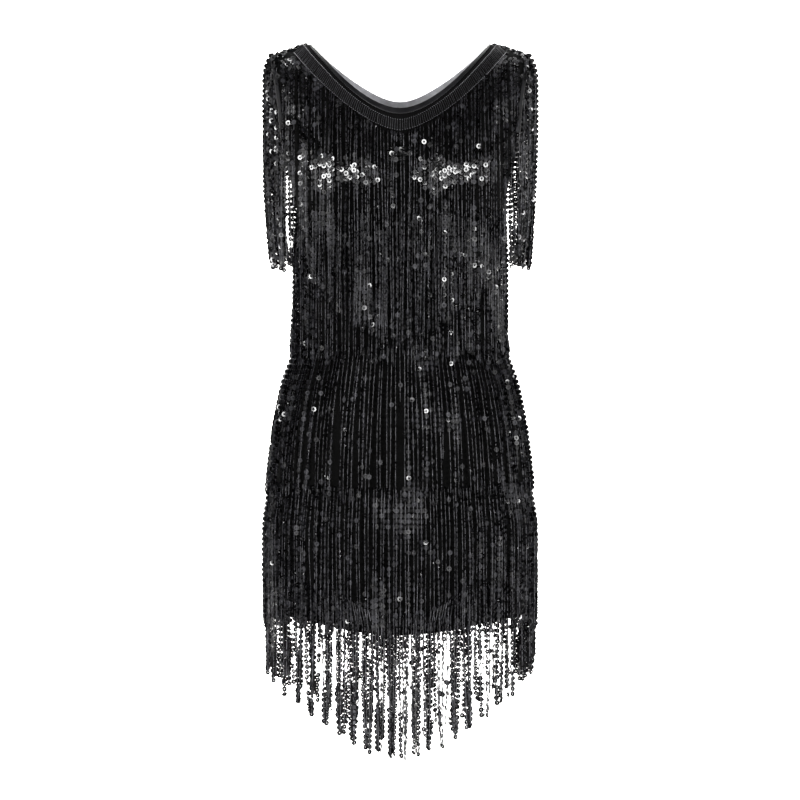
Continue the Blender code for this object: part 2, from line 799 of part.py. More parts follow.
def make_sleeve_fringe(name, front, back, column, material, collection):
    """Fringe sewn round the top of an armhole. Its strands hang over the arm."""
    rows = armhole_edge(front, back, column, SLEEVE_STRIP_WIDTH)
    top = len(front.points) - 1 - front.underarm_row
    reach = len(SLEEVE_STRANDS_PER_ROW)
    splits = SLEEVE_STRANDS_PER_ROW + tuple(reversed(SLEEVE_STRANDS_PER_ROW))
    rows = rows[top - reach : top + reach + 1]
    outside = -1 if column == 0 else 1
    lifts = (SLEEVE_STRIP_LIFT, SLEEVE_STRIP_LIFT + TAPE)
    stations = []
    edges = []
    for row, after, split in list(zip(rows, rows[1:], splits)) + [(rows[-1], rows[-1], 1)]:
        for k in range(split):
            edge = row[0].lerp(after[0], k / split)
            out = row[1].lerp(after[1], k / split).normalized()
            end = row[2][0].lerp(after[2][0], k / split)
            end_out = row[2][1].lerp(after[2][1], k / split).normalized()
            rim = edge - (end - edge).normalized() * SLEEVE_STRIP_OUT
            ends = [end + end_out * lift for lift in lifts]
            rims = [rim + out * lift for lift in lifts]
            stations.append([ends[0], ends[1], rims[1], rims[0]])
            edges.append(edge)
    strands = []
    for k, (start, end) in enumerate(zip(edges, edges[1:])):
        centre = (start + end) / 2
        width = abs(end.y - start.y) * SLEEVE_STRAND_SHARE
        from_top = abs(2.0 * (k + 0.5) / (len(edges) - 1) - 1.0)
        hang = SLEEVE_HANG_TOP + (SLEEVE_HANG_END - SLEEVE_HANG_TOP) * from_top**2
        tip = SLEEVE_TIP_HEIGHT + VARIATION.uniform(-SLEEVE_RAGGED, SLEEVE_RAGGED)
        root = (stations[k][3].z + stations[k + 1][3].z) / 2
        sections = []
        for level in SLEEVE_LEVELS:
            height = root + (tip - root) * level
            inner = outside * (hang - SLEEVE_STRAND / 2)
            outer = outside * (hang + SLEEVE_STRAND / 2)
            slim = math.copysign(width * (1.0 - SLEEVE_STRAND_TAPER * level), end.y - start.y)
            slimmer = slim * SLEEVE_STRAND_BEVEL
            sections.append(
                [
                    Vector((inner, centre.y - slim, height)),
                    Vector((outer, centre.y - slimmer, height)),
                    Vector((outer, centre.y + slimmer, height)),
                    Vector((inner, centre.y + slim, height)),
                ]
            )
        strands.append(sections)
    return make_comb(name, stations, strands, False, material, collection)


def build_dress():
    clear_scene()
    collection = bpy.data.collections.new(DRESS)
    bpy.context.scene.collection.children.link(collection)
    knit, satin, facing, fringe = [make_material(name) for name in MATERIALS]
    front = Cloth(FRONT)
    back = Cloth(BACK)
    make_panel("front_panel", front, knit, collection)
    make_panel("back_panel", back, knit, collection)
    make_neck_binding("neck_binding_front", front, BINDING_ROWS, satin, collection)
    make_neck_binding("neck_binding_back", back, FACING_ROWS, facing, collection)
    for name, column in (("left", 0), ("right", COLUMNS)):
        make_armhole_binding("armhole_binding_" + name, front, back, column, satin, collection)
        make_sleeve_fringe("sleeve_fringe_" + name, front, back, column, fringe, collection)
    make_neck_fringe("neck_fringe_front", front, fringe, collection)
    make_neck_fringe("neck_fringe_back", back, fringe, collection)
    for tier in TIERS:
        make_tier(tier, front, back, fringe, collection)


build_dress()
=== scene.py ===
# %% [markdown]
# This lesson finishes a latin dance dress: a stretch slip with a V neck, covered in rows of
# hanging sequin fringe. The solids of the dress come from its CAD model, which fixes every
# place and size. Here the cloth gets its softness and its knit, and each row of fringe gets
# its real strands, with every sequin a small cupped ring on a thread.

# %% Load the dress
import math
import random

import bmesh
import bpy
import numpy as np
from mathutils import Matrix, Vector
from mathutils.bvhtree import BVHTree


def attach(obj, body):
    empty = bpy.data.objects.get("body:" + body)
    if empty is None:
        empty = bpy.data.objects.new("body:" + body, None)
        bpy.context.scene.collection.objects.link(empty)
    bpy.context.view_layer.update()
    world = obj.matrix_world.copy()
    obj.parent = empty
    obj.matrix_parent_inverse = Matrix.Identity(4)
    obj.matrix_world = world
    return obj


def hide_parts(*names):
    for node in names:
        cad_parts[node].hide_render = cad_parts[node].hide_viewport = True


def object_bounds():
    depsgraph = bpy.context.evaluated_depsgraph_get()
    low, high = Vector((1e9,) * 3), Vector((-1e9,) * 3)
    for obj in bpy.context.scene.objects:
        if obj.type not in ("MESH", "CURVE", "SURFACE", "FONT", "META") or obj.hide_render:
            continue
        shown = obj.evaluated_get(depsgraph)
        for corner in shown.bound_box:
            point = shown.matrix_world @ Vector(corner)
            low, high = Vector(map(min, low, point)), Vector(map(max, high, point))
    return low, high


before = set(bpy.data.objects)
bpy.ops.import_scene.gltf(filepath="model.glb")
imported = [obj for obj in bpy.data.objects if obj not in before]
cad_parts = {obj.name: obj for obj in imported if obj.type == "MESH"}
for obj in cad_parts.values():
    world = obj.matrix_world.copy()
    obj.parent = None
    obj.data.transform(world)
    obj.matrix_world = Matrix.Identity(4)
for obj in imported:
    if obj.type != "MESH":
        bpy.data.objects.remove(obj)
cad_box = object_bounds()
print("pieces from the CAD model:", sorted(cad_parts))

# %% [markdown]
# Real sizes are easiest to think about in millimetres, and Blender works in metres, so sizes
# below are written as a number times MM. The dress hangs from its shoulder seams at z = 0 and
# its front faces the side of -Y.

# %% Units and sides
MM = 0.001
FRONT = -1
BACK = 1
CHANCE = random.Random(11)
NOISE = np.random.default_rng(11)

# %% [markdown]
# The photograph looks straight at the front of the dress from about four metres. A long lens
# keeps the sides nearly parallel. Black sequins show only what they mirror, so the air of the
# studio is dim to them, though the camera sees it pale. Bright strips hang a little higher
# than the bust at both sides of the camera, for the sequins that lean that way to mirror, and
# wide faint panels at the sides draw the grey lines on those seen edge on, together with a
# painted highlight in the grey colour of the threads.

# %% Camera and lights
PHOTO_PIXEL = 1.26 * MM
PHOTO_SIZE = 800
CAMERA_DISTANCE = 4.0
CAMERA_HEIGHT = -441 * MM
SENSOR = 36.0
CHEST = (0.0, 0.0, -250 * MM)
BUST = (0.0, -100 * MM, -160 * MM)
FAR_WALL = (0.0, 4.6, 0.2)
LIGHTS = [
    {"name": "left_strip", "place": (-2.4, -2.8, 0.55), "target": BUST, "size": (2.0, 0.7), "watts": 265},
    {"name": "right_strip", "place": (2.4, -2.8, 0.55), "target": BUST, "size": (2.0, 0.7), "watts": 225},
    {"name": "middle_strip", "place": (0.0, -3.7, 0.55), "target": BUST, "size": (0.8, 0.5), "watts": 80},
    {"name": "left_panel", "place": (-3.2, -0.3, 0.3), "target": CHEST, "size": (2.4, 2.4), "watts": 40},
    {"name": "right_panel", "place": (3.2, -0.3, 0.3), "target": CHEST, "size": (2.4, 2.4), "watts": 34},
    {"name": "back_strip", "place": (0.2, 3.5, 0.75), "target": CHEST, "size": (2.8, 0.5), "watts": 220},
    {"name": "wall_wash", "place": (0.0, 1.6, 3.2), "target": FAR_WALL, "size": (6.0, 2.0), "watts": 900},
]


def aim(thing, target):
    direction = Vector(target) - thing.location
    thing.rotation_euler = direction.to_track_quat("-Z", "Y").to_euler()


def add_camera():
    data = bpy.data.cameras.new("photo_camera")
    data.sensor_width = SENSOR
    data.lens = SENSOR * CAMERA_DISTANCE / (PHOTO_PIXEL * PHOTO_SIZE)
    camera = bpy.data.objects.new("photo_camera", data)
    bpy.context.scene.collection.objects.link(camera)
    camera.location = (0.0, -CAMERA_DISTANCE, CAMERA_HEIGHT)
    aim(camera, (0.0, 0.0, CAMERA_HEIGHT))
    bpy.context.scene.camera = camera
    return camera


def add_soft_box(name, place, target, size, watts):
    data = bpy.data.lights.new(name, "AREA")
    data.shape = "RECTANGLE"
    data.size = size[0]
    data.size_y = size[1]
    data.energy = watts
    light = bpy.data.objects.new(name, data)
    bpy.context.scene.collection.objects.link(light)
    light.location = place
    aim(light, target)
    return light


camera = add_camera()
for row in LIGHTS:
    add_soft_box(**row)
print("lens", round(camera.data.lens, 1), "mm;", len(LIGHTS), "lights")

# %% Air of the studio
AIR_FOR_LIGHT = 0.022
AIR_FOR_CAMERA = 2.4
world = bpy.data.worlds.new("studio_air")
world.use_nodes = True
air = world.node_tree.nodes["Background"]
air.inputs["Color"].default_value = (1.0, 1.0, 1.0, 1.0)
path_kind = world.node_tree.nodes.new("ShaderNodeLightPath")
brightness = world.node_tree.nodes.new("ShaderNodeMapRange")
brightness.inputs["To Min"].default_value = AIR_FOR_LIGHT
brightness.inputs["To Max"].default_value = AIR_FOR_CAMERA
world.node_tree.links.new(path_kind.outputs["Is Camera Ray"], brightness.inputs["Value"])
world.node_tree.links.new(brightness.outputs["Result"], air.inputs["Strength"])
bpy.context.scene.world = world
bpy.context.scene.view_settings.view_transform = "Standard"
print("air:", AIR_FOR_LIGHT, "to the sequins,", AIR_FOR_CAMERA, "to the camera")

# %% [markdown]
# The background is one pale sheet, a floor that turns up into a wall. It starts as a plane.
# Its far edge is raised, the fold between the two is rounded, and it is then made wider.

# %% Floor and wall
FLOOR_DROP = 30 * MM
FLOOR_FRONT = 1.0
SWEEP_START = 4.6
SWEEP_RISE = 5.0
SWEEP_ROUND = 1.4
SWEEP_SEGMENTS = 12
SWEEP_WIDENING = 3.0
floor_height = cad_box[0][2] - FLOOR_DROP


def deselect():
    bpy.ops.object.select_all(action="DESELECT")


def select_only(piece):
    deselect()
    piece.select_set(True)
    bpy.context.view_layer.objects.active = piece


def add_floor():
    """A pale floor that turns up into a wall far behind the dress. The camera sees no edge of it."""
    deselect()
    bpy.ops.mesh.primitive_plane_add(size=2 * SWEEP_START, location=(0.0, 0.0, floor_height))
    floor = bpy.context.object
    floor.name = "studio_floor"
    bpy.ops.object.mode_set(mode="EDIT")
    bpy.ops.mesh.select_mode(type="VERT")
    bpy.ops.mesh.select_all(action="DESELECT")
    mesh = bmesh.from_edit_mesh(floor.data)
    for corner in mesh.verts:
        corner.select_set(corner.co.y > 0)
    mesh.select_flush(True)
    bpy.ops.mesh.extrude_region_move(TRANSFORM_OT_translate={"value": (0.0, 0.0, SWEEP_RISE)})
    bpy.ops.mesh.select_all(action="DESELECT")
    mesh = bmesh.from_edit_mesh(floor.data)
    for corner in mesh.verts:
        corner.select_set(corner.co.y > 0 and corner.co.z < SWEEP_RISE / 2)
    mesh.select_flush(True)
    bpy.ops.mesh.bevel(offset=SWEEP_ROUND, segments=SWEEP_SEGMENTS, affect="EDGES")
    bpy.ops.mesh.select_all(action="SELECT")
    bpy.ops.transform.resize(value=(SWEEP_WIDENING, 1.0, 1.0))
    bpy.ops.object.mode_set(mode="OBJECT")
    for corner in floor.data.vertices:
        corner.co.y = max(corner.co.y, -FLOOR_FRONT)
    bpy.ops.object.shade_smooth()
    bpy.ops.object.transform_apply(location=True, rotation=True, scale=True)
    return floor


floor = add_floor()
print("floor at", round(floor_height, 3), "m")

# %% [markdown]
# Colours are picked as web hex numbers, which are stored in sRGB, and the shader wants linear
# light. One function turns one into the other. Another adds a node, sets its sockets and
# returns it, so that each material reads as a short list of what it is made from.

# %% Colour and node helpers
def hex_colour(code):
    channels = [int(code[i : i + 2], 16) / 255 for i in (0, 2, 4)]
    linear = [c / 12.92 if c <= 0.04045 else ((c + 0.055) / 1.055) ** 2.4 for c in channels]
    return (*linear, 1.0)


def add_node(material, kind, **sockets):
    node = material.node_tree.nodes.new(kind)
    for name, value in sockets.items():
        socket = node.inputs[name.replace("_", " ")]
        if isinstance(value, bpy.types.NodeSocket):
            material.node_tree.links.new(value, socket)
        else:
            socket.default_value = value
    return node


def set_inputs(node, **values):
    for name, value in values.items():
        node.inputs[name.replace("_", " ")].default_value = value


def new_material(name, colour, roughness):
    material = bpy.data.materials.new(name)
    material.use_nodes = True
    shader = material.node_tree.nodes["Principled BSDF"]
    set_inputs(shader, Base_Color=hex_colour(colour), Roughness=roughness)
    return material, shader


def link(material, out, socket):
    material.node_tree.links.new(out, socket)


def colour_ramp(material, value, stops):
    """The colour that a value picks on its way through stops, each a position and a hex number."""
    ramp = add_node(material, "ShaderNodeValToRGB", Fac=value)
    elements = ramp.color_ramp.elements
    for element, (position, code) in ((elements[0], stops[0]), (elements[1], stops[-1])):
        element.color = hex_colour(code)
        element.position = position
    for position, code in stops[1:-1]:
        elements.new(position).color = hex_colour(code)
    return ramp.outputs["Color"]


floor_material, _ = new_material("pale_floor", "f2f1ef", 0.9)
floor.data.materials.append(floor_material)
print("floor material:", floor_material.name)

# %% [markdown]
# The slip is black polyester and elastane jersey. Up close it is rows of small V stitches,
# about a millimetre apart, and it has a faint sheen where the stretched loops catch light.
# A slanted wave gives the stitches their relief. It reads Object coordinates, so it keeps its
# real size wherever the cloth runs, and a slow noise lets the black drift a little.

# %% Black jersey
STITCH_PITCH = 1.1 * MM
WAVE_TURN = math.tau / 20.0
TONE_STOPS = (0.35, 0.7)


def wave_bump(material, shader, pitch, direction, strength, height):
    place = add_node(material, "ShaderNodeTexCoord")
    wave = add_node(material, "ShaderNodeTexWave", Vector=place.outputs["Object"])
    wave.bands_direction = direction
    set_inputs(wave, Scale=WAVE_TURN / pitch, Distortion=1.2, Detail=1.0)
    bump = add_node(material, "ShaderNodeBump", Height=wave.outputs["Fac"])
    set_inputs(bump, Strength=strength, Distance=height)
    link(material, bump.outputs["Normal"], shader.inputs["Normal"])


def tone_by_noise(material, shader, dark, light, size, roughness=None):
    """Drifts the colour between two tones over patches of a real size."""
    place = add_node(material, "ShaderNodeTexCoord")
    noise = add_node(material, "ShaderNodeTexNoise", Vector=place.outputs["Object"])
    set_inputs(noise, Scale=1.0 / size)
    drift = colour_ramp(material, noise.outputs["Fac"], list(zip(TONE_STOPS, (dark, light))))
    link(material, drift, shader.inputs["Base Color"])
    if roughness:
        gloss = add_node(material, "ShaderNodeMapRange", Value=noise.outputs["Fac"])
        set_inputs(gloss, To_Min=roughness[0], To_Max=roughness[1])
        link(material, gloss.outputs["Result"], shader.inputs["Roughness"])


jersey, jersey_shader = new_material("black_jersey", "060606", 0.9)
tone_by_noise(jersey, jersey_shader, "010101", "030303", 30 * MM, (0.85, 0.95))
wave_bump(jersey, jersey_shader, STITCH_PITCH, "DIAGONAL", 0.35, 0.15 * MM)
set_inputs(jersey_shader, Specular_IOR_Level=0.04, Sheen_Weight=0.01, Sheen_Roughness=0.4)
print("jersey stitches every", STITCH_PITCH / MM, "mm")

# %% [markdown]
# The neck and the armholes are bound with satin, black outside. The wide inner leaf at the back
# of the neck shows its matt side: dark satin whose mid grey colour is partly painted sheen. Satin
# has long floating threads, so its shine is stretched one way, and a fine line pattern stands for the
# threads.

# %% Satin for the bindings
SATIN_THREAD = 0.5 * MM
satin, satin_shader = new_material("black_satin", "0f0f10", 0.38)
tone_by_noise(satin, satin_shader, "050506", "0d0d0f", 14 * MM, (0.3, 0.45))
wave_bump(satin, satin_shader, SATIN_THREAD, "X", 0.2, 0.06 * MM)
set_inputs(satin_shader, Anisotropic=0.5, Specular_IOR_Level=0.11)

# Painted sheen: the mid grey colour and its drift stand partly for the shine of dark satin.
facing, facing_shader = new_material("facing_grey_painted_sheen", "747477", 0.5)
tone_by_noise(facing, facing_shader, "68686b", "828286", 12 * MM, (0.42, 0.6))
wave_bump(facing, facing_shader, SATIN_THREAD, "X", 0.3, 0.08 * MM)
set_inputs(facing_shader, Anisotropic=0.35, Sheen_Weight=0.2)
print("satin threads every", SATIN_THREAD / MM, "mm")

# %% [markdown]
# A black sequin is a stamped ring of glossy plastic film. Flat on, it is a mirror with a pale
# bloom, and each one leans its own way, so one flashes white beside one that stays black. Each
# sequin carries a number of its own in the attribute "tone": it drifts the colour and the gloss.

# %% Sequin film
TONE_CRISP = 0.25
TONE_SOFT = 0.45
FILM_COLOURS = [(0.0, "020202"), (0.6, "040405"), (1.0, "1b1b1e")]
CRISP_TO_SOFT = {"Roughness": (0.14, 0.46), "Specular IOR Level": (0.3, 0.12)}
sequin_film, sequin_shader = new_material("black_sequin_film", "060607", 0.2)
tone = add_node(sequin_film, "ShaderNodeAttribute")
tone.attribute_name = "tone"
shade = colour_ramp(sequin_film, tone.outputs["Fac"], FILM_COLOURS)
link(sequin_film, shade, sequin_shader.inputs["Base Color"])
for name, (crisp, soft) in CRISP_TO_SOFT.items():
    change = add_node(sequin_film, "ShaderNodeMapRange", Value=tone.outputs["Fac"])
    set_inputs(change, From_Min=TONE_CRISP, From_Max=TONE_SOFT, To_Min=crisp, To_Max=soft)
    link(sequin_film, change.outputs["Result"], sequin_shader.inputs[name])
print("colours along a sequin's tone:", FILM_COLOURS)

# %% Dark film, threads and tape
dark_film, dark_shader = new_material("dark_sequin_film", "030303", 0.4)
tone_by_noise(dark_film, dark_shader, "020202", "08080a", 6 * MM, (0.25, 0.45))
set_inputs(dark_shader, Specular_IOR_Level=0.05)

# The thread is black but is coloured grey: this lighter colour is a painted highlight for the thin grey
# lines of the strands.
thread_painted_highlight, thread_shader = new_material("black_thread_painted_highlight", "3c3c40", 0.5)
tone_by_noise(thread_painted_highlight, thread_shader, "1a1a1c", "454549", 9 * MM)
set_inputs(thread_shader, Specular_IOR_Level=0.25)

stitch_grey, stitch_shader = new_material("grey_stitching", "6e6e72", 0.55)
tone_by_noise(stitch_grey, stitch_shader, "3c3c40", "55555a", 3 * MM)
set_inputs(stitch_shader, Sheen_Weight=0.1)

tape_black, tape_shader = new_material("black_header_tape", "0c0c0d", 0.75)
tone_by_noise(tape_black, tape_shader, "010101", "030303", 6 * MM, (0.75, 0.9))
wave_bump(tape_black, tape_shader, 0.8 * MM, "Z", 0.4, 0.15 * MM)
set_inputs(tape_shader, Specular_IOR_Level=0.04)

cross_grey, cross_shader = new_material("dark_cross_thread", "2a2a2d", 0.45)
tone_by_noise(cross_grey, cross_shader, "0e0e10", "262629", 4 * MM)
set_inputs(cross_shader, Specular_IOR_Level=0.2)
fringe_materials = (sequin_film, dark_film, thread_painted_highlight, stitch_grey, tape_black, cross_grey)
print("materials of the fringe:", [material.name for material in fringe_materials])

# %% [markdown]
# The cloth of the CAD model is a wall of flat facets. A copy of it is welded, turned back into
# four-sided faces and smoothed by subdivision. The edges of the wall are creased first, so the
# cut edge of the cloth stays thin and crisp while its surface becomes round.

# %% Soften the cloth
WELD = 0.01 * MM
SHARP_ANGLE = math.radians(50)
JOIN_ANGLE = math.radians(30)
JOIN_SKEW = math.radians(60)
SHADE_ANGLE = math.radians(40)
CLOTH_LEVELS = 1
CLOTH_CREASE = 1.0
BINDING_LEVELS = 2
BINDING_CREASE = 0.4


def soften(node, name, material, levels, crease):
    """A smooth copy of a CAD piece, which it then stands for."""
    deselect()
    piece = bpy.data.objects.new(name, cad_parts[node].data.copy())
    bpy.context.scene.collection.objects.link(piece)
    piece.data.materials.clear()
    piece.data.materials.append(material)
    select_only(piece)
    bpy.ops.object.mode_set(mode="EDIT")
    bpy.ops.mesh.select_all(action="SELECT")
    bpy.ops.mesh.remove_doubles(threshold=WELD)
    bpy.ops.mesh.tris_convert_to_quads(face_threshold=JOIN_ANGLE, shape_threshold=JOIN_SKEW)
    bpy.ops.mesh.select_all(action="DESELECT")
    bpy.ops.mesh.select_mode(type="EDGE")
    bpy.ops.mesh.edges_select_sharp(sharpness=SHARP_ANGLE)
    bpy.ops.transform.edge_crease(value=crease)
    bpy.ops.object.mode_set(mode="OBJECT")
    smoother = piece.modifiers.new("smoother", "SUBSURF")
    smoother.levels = levels
    smoother.render_levels = levels
    bpy.ops.object.modifier_apply(modifier="smoother")
    bpy.ops.object.shade_smooth_by_angle(angle=SHADE_ANGLE)
    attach(piece, "root")
    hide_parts(node)
    return piece


front_cloth = soften("front_panel", "front_cloth", jersey, CLOTH_LEVELS, CLOTH_CREASE)
back_cloth = soften("back_panel", "back_cloth", jersey, CLOTH_LEVELS, CLOTH_CREASE)
print("cloth faces:", len(front_cloth.data.polygons), len(back_cloth.data.polygons))

# %% Soften the bindings
bindings = [
    soften(node, name, material, BINDING_LEVELS, BINDING_CREASE)
    for node, name, material in (
        ("neck_binding_front", "neck_binding", satin),
        ("neck_binding_back", "neck_facing", facing),
        ("armhole_binding_left", "left_armhole_binding", satin),
        ("armhole_binding_right", "right_armhole_binding", satin),
    )
]
print("bindings:", [binding.name for binding in bindings])

# %% [markdown]
# A ring sequin is easy to model by hand: a circle of eight points, drawn in twice. The outer
# ring stays nearly flat and mirrors light. The inner one dips steeply to the thread hole, so
# it stays dark, and the flash of a sequin is a ring. It is made once, and its points are then
# kept as a pattern for all the others.

# %% Model one sequin
SEQUIN_RADIUS = 3.2 * MM
CUP_RADIUS = 1.45 * MM
HOLE_RADIUS = 0.4 * MM
RIM_DROP = 0.04 * MM
CUP_DROP = 0.6 * MM
SEQUIN_SIDES = 8


def draw_in(radius_from, radius_to, drop):
    bpy.ops.mesh.extrude_region_move(TRANSFORM_OT_translate={"value": (0.0, 0.0, -drop)})
    shrink = radius_to / radius_from
    bpy.ops.transform.resize(value=(shrink, shrink, 1.0))


def model_sequin():
    deselect()
    bpy.ops.mesh.primitive_circle_add(vertices=SEQUIN_SIDES, radius=SEQUIN_RADIUS, fill_type="NOTHING")
    pattern = bpy.context.object
    bpy.ops.object.mode_set(mode="EDIT")
    bpy.ops.mesh.select_all(action="SELECT")
    draw_in(SEQUIN_RADIUS, CUP_RADIUS, RIM_DROP)
    draw_in(CUP_RADIUS, HOLE_RADIUS, CUP_DROP)
    bpy.ops.mesh.select_all(action="SELECT")
    bpy.ops.mesh.normals_make_consistent(inside=False)
    bpy.ops.object.mode_set(mode="OBJECT")
    points = np.array([vertex.co[:] for vertex in pattern.data.vertices])
    faces = [list(face.vertices) for face in pattern.data.polygons]
    if pattern.data.polygons[0].normal.z < 0:
        faces = [list(reversed(face)) for face in faces]
    bpy.data.objects.remove(pattern, do_unlink=True)
    return points, np.array(faces)


SEQUIN_POINTS, SEQUIN_FACES = model_sequin()
print("one sequin has", len(SEQUIN_FACES), "faces")

# %% [markdown]
# Thousands of objects would slow Blender down, so each row of fringe is one joined mesh. The
# pattern's points are multiplied by a small turning matrix for every sequin, all at once with
# numpy, and the threads are thin three-sided tubes built in the same way.

# %% Join many small shapes into one mesh
THREAD_SIDES = 3
OFF_AXIS = np.array([0.13, 0.31, 0.94])


def unit(vectors):
    length = np.linalg.norm(vectors, axis=-1, keepdims=True)
    return vectors / np.maximum(length, 1e-9)


def mesh_from_arrays(name, points, faces, materials, face_material, tones):
    data = bpy.data.meshes.new(name)
    size = faces.shape[1]
    data.vertices.add(len(points))
    data.vertices.foreach_set("co", points.ravel())
    data.loops.add(len(faces) * size)
    data.loops.foreach_set("vertex_index", faces.ravel())
    data.polygons.add(len(faces))
    data.polygons.foreach_set("loop_start", np.arange(len(faces)) * size)
    data.polygons.foreach_set("material_index", face_material)
    data.update(calc_edges=True)
    data.attributes.new("tone", "FLOAT", "POINT")
    data.attributes["tone"].data.foreach_set("value", tones)
    for material in materials:
        data.materials.append(material)
    data.shade_flat()
    piece = bpy.data.objects.new(name, data)
    bpy.context.scene.collection.objects.link(piece)
    return piece


def turn_sequins(centres, along, facing_way, scale):
    """The points of one sequin at each centre, facing out, with its own size."""
    out = unit(facing_way)
    down = unit(along - out * np.sum(along * out, axis=1, keepdims=True))
    across = np.cross(down, out)
    axes = np.stack([across, down, out], axis=1)
    return centres[:, None, :] + (SEQUIN_POINTS[None] * scale[:, None, None]) @ axes


def thread_tube(path, radius):
    """Rings of three points along a path of points."""
    along = unit(np.gradient(path, axis=0))
    side = unit(np.cross(along, OFF_AXIS))
    other = np.cross(along, side)
    rings = []
    for corner in range(THREAD_SIDES):
        angle = math.tau * corner / THREAD_SIDES
        rings.append(path + radius * (math.cos(angle) * side + math.sin(angle) * other))
    points = np.stack(rings, axis=1).reshape(-1, 3)
    faces = []
    for ring in range(len(path) - 1):
        low = THREAD_SIDES * ring
        high = low + THREAD_SIDES
        for corner in range(THREAD_SIDES):
            after = (corner + 1) % THREAD_SIDES
            faces.append((low + corner, low + after, high + after, high + corner))
    return points, np.array(faces)


print("a thread has", THREAD_SIDES, "sides")

# %% [markdown]
# Each strand follows the solid that stands for it in the CAD model. A ray is shot at the solid
# from outside, level with the sequin, and the sequin goes where the ray lands. The solids have
# gaps between their locks, so three rays are shot side by side and the outermost place counts.

# %% Find the places of the strands on the solids
FAR = 0.5
WAIST_AXIS = (0.0, 4 * MM)
ROUND_WIDTH = 165 * MM
ROUND_DEPTH = 112 * MM


def tree_of(piece):
    mesh = bmesh.new()
    mesh.from_mesh(piece.data)
    tree = BVHTree.FromBMesh(mesh)
    mesh.free()
    return tree


def reach_round(tree, angle, height, spread):
    """How far a solid reaches from the dress's upright axis at an angle, or None."""
    best = None
    for turn in (-spread, 0.0, spread):
        way = Vector((math.cos(angle + turn), math.sin(angle + turn), 0.0))
        start = Vector((*WAIST_AXIS, height)) + way * FAR
        place, _, _, distance = tree.ray_cast(start, -way, FAR)
        if place is not None and (best is None or FAR - distance > best):
            best = FAR - distance
    return best


def reach_ahead(tree, x, height, side, spread):
    """How far a solid reaches to the front or the back at a place seen from the front."""
    best = None
    for step in (-spread, 0.0, spread):
        start = Vector((x + step, side * FAR, height))
        place, _, _, _ = tree.ray_cast(start, Vector((0.0, -side, 0.0)), FAR)
        if place is not None and (best is None or side * place.y > best):
            best = side * place.y
    return best


def outward_at(points):
    """The level direction away from the body, as if it were an upright oval."""
    way = points * np.array([1 / ROUND_WIDTH**2, 1 / ROUND_DEPTH**2, 0.0])
    return unit(way)


trees = {name: tree_of(node) for name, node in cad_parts.items()}
print("solids to follow:", len(trees))

# %% [markdown]
# A strand is a thread with a sequin about every six millimetres. Most of a strand hangs turned
# edge on, so it looks like a thin dark line. In patches the sequins lie flat on the cloth
# together, and there they mirror the lights as bright rings. A few crossed waves make the
# patches. Five more are placed on the front, over the bust and at the shoulders,
# where the strands are pressed flat by their own weight.

# %% String the sequins
PITCH = 6.3 * MM
PATCH = 14 * MM
WAVE_COUNT = 6
PATCH_WAVES = NOISE.normal(0.0, 1.0, (WAVE_COUNT, 3)) / PATCH * np.array([1.0, 1.0, 0.6])
PATCH_STARTS = NOISE.uniform(0.0, math.tau, WAVE_COUNT)
PATCH_EDGE = 4.0
PATCH_LEVEL = 1.25
BUST_PULL = 3.8
BRIGHT_PATCHES = [
    {"x": 66, "height": -162, "half": 50, "tall": 20},
    {"x": 129, "height": -84, "half": 12, "tall": 13},
    {"x": 0, "height": -139, "half": 14, "tall": 7},
]
BUST_CRISP = 0.75
BUST_STEADY = 0.6
TONE_SPLIT = 0.3
DRIFT = 0.08
JITTER = 0.12
LOOSE_SHARE = 0.05
LOOSE_TURN = 0.4
TWIST_SPREAD = (0.85, 1.0)
SIZE_SPREAD = (0.94, 1.04)
SIDE_STEP = 0.35 * MM
THREAD_STEPS = 8
SHEDDING_STEP = 3
FILM, THREAD, DARK_FILM = 0, 1, 2
THREAD_TONE = 0.5


def on_bust(points):
    """1 where sequins of the front lie flat and flash, in a patch, falling to 0 round it. The
    patches repeat on the other side of the centre."""
    flash = np.zeros(len(points))
    for row in BRIGHT_PATCHES:
        across = ((np.abs(points[:, 0]) - row["x"] * MM) / (row["half"] * MM)) ** 4
        rise = ((points[:, 2] - row["height"] * MM) / (row["tall"] * MM)) ** 2
        flash = np.maximum(flash, np.exp(-across - rise))
    return flash * (points[:, 1] < 0.0)


def flatness(points):
    """From 0, turned any way, to 1, flat on the cloth."""
    waves = np.sin(points @ PATCH_WAVES.T + PATCH_STARTS).sum(axis=1) / 2.0
    above = waves + BUST_PULL * on_bust(points) - PATCH_LEVEL
    return 1.0 / (1.0 + np.exp(-PATCH_EDGE * above))


def sequin_tones(points, share):
    """A number for each sequin: low is crisp and bright, as most are on the bust, high is worn
    and soft."""
    count = len(points)
    crisp = NOISE.uniform(0.0, 1.0, count) < share + BUST_CRISP * on_bust(points)
    low = NOISE.uniform(0.0, TONE_SPLIT, count)
    high = NOISE.uniform(TONE_SPLIT, 1.0, count)
    return np.where(crisp, low, high)


def keep_sequins(count, missing):
    """Which sequins of a strand are left: a few have come off its lower half in short runs."""
    kept = np.ones(count, dtype=bool)
    first = count // 2
    while first < count - 1:
        if CHANCE.random() < missing:
            kept[first : first + CHANCE.randint(1, 3)] = False
        first += SHEDDING_STEP
    return kept


def sequin_ways(path, along, out, side, hang):
    """Where each sequin of a strand faces. The strand hangs turned to one side by about the
    row's twist, drifts a little from sequin to sequin, and turns flat inside a patch."""
    count = len(path)
    twist = CHANCE.uniform(*TWIST_SPREAD) * hang["twist"] * CHANCE.choice((-1.0, 1.0))
    twist = (twist + np.cumsum(NOISE.normal(0.0, DRIFT, count))) * (1.0 - flatness(path))
    steady = 1.0 - BUST_STEADY * on_bust(path)
    twist += NOISE.normal(0.0, JITTER, count) * steady
    loose = NOISE.uniform(0.0, 1.0, count) < LOOSE_SHARE
    twist = np.where(loose, NOISE.normal(0.0, LOOSE_TURN, count), twist)
    lean = NOISE.normal(0.0, hang["tilt"], count) * steady
    return out * np.cos(twist)[:, None] + side * np.sin(twist)[:, None] + along * lean[:, None]


